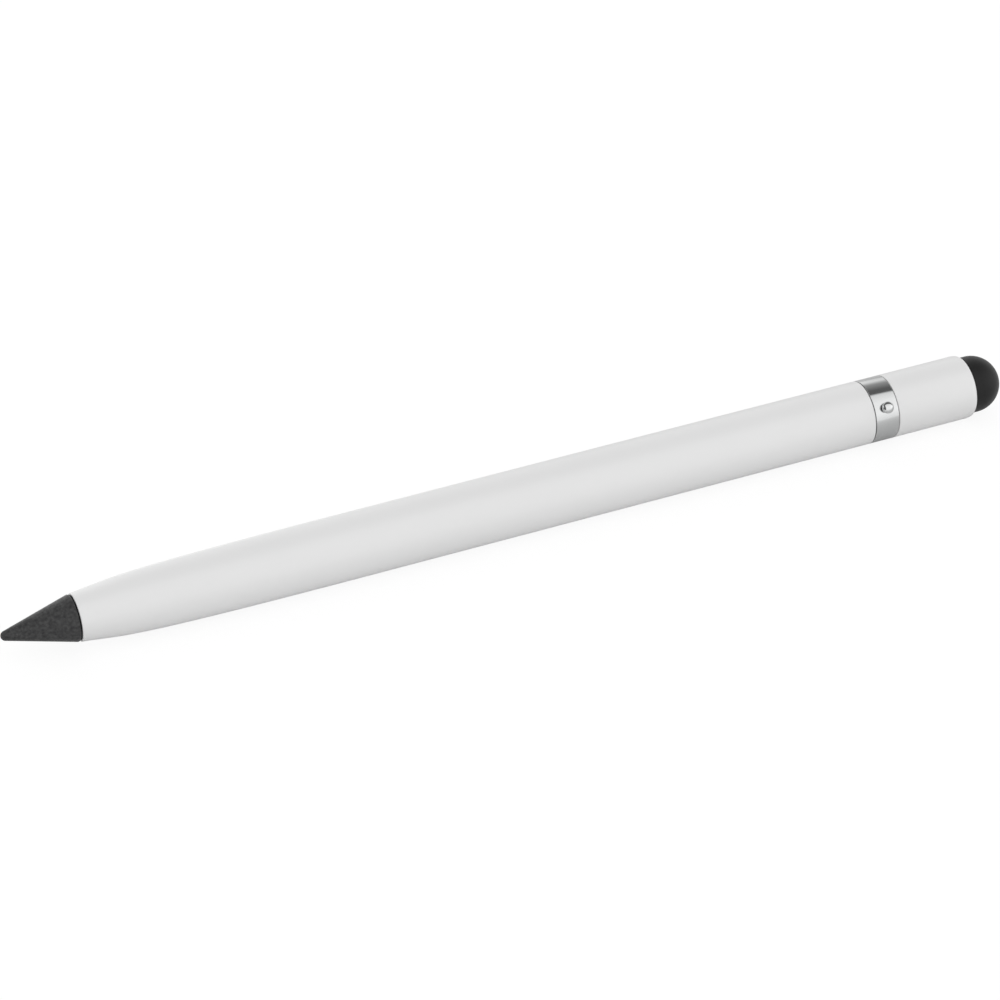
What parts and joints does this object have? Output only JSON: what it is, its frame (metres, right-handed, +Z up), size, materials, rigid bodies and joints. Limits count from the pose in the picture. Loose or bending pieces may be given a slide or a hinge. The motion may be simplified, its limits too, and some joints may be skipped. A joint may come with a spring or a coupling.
{
  "type": "everlasting pencil",
  "caption": "Slim round everlasting pencil: a screw-in graphite alloy nib, a white lacquered barrel, a chromed ring with a small stud, and a soft rubber stylus dome.",
  "frame": {"origin": "the point of the table under the middle of the pencil's length, where the barrel's lowest line touches it", "axes": "+X along the pencil from the writing nib to the stylus dome, +Z up from the table that the pencil lies on, with the ring's stud on the -Y side"},
  "size_m": [0.147, 0.0093, 0.009],
  "materials": {
    "white_lacquer": "satin",
    "graphite_alloy": "matte",
    "brass": "satin",
    "black_rubber": "matte",
    "black_moulding": "satin",
    "chrome": "polished",
    "conductive_rubber": "matte"
  },
  "bodies": {
    "barrel": {"barrel": "white_lacquer", "nose_bush": "brass"},
    "washer": {"nib_washer": "black_rubber"},
    "nib": {"writing_nib": "graphite_alloy", "nib_stud": "brass"},
    "stylus_end": {"coupling": "black_moulding", "trim_ring": "chrome", "ring_stud": "chrome", "rear_sleeve": "white_lacquer", "stylus_holder": "black_moulding", "stylus_dome": "conductive_rubber"}
  },
  "joints": [
    {"name": "nib_travel", "type": "slide", "parent": "barrel", "child": "washer", "axis": [-1, 0, 0], "range_m": [0, 0.0056]},
    {"name": "nib_turn", "type": "hinge", "parent": "washer", "child": "nib", "pos_m": [-0.06352, 0, 0.0045], "axis": [-1, 0, 0], "range_deg": [0, 2880]},
    {"name": "stylus_end_pull", "type": "slide", "parent": "barrel", "child": "stylus_end", "axis": [1, 0, 0], "range_m": [0, 0.0095]}
  ],
  "couplings": [
    {"joint": "nib_turn", "follows": "nib_travel", "rad_per_m": 8975.9}
  ]
}
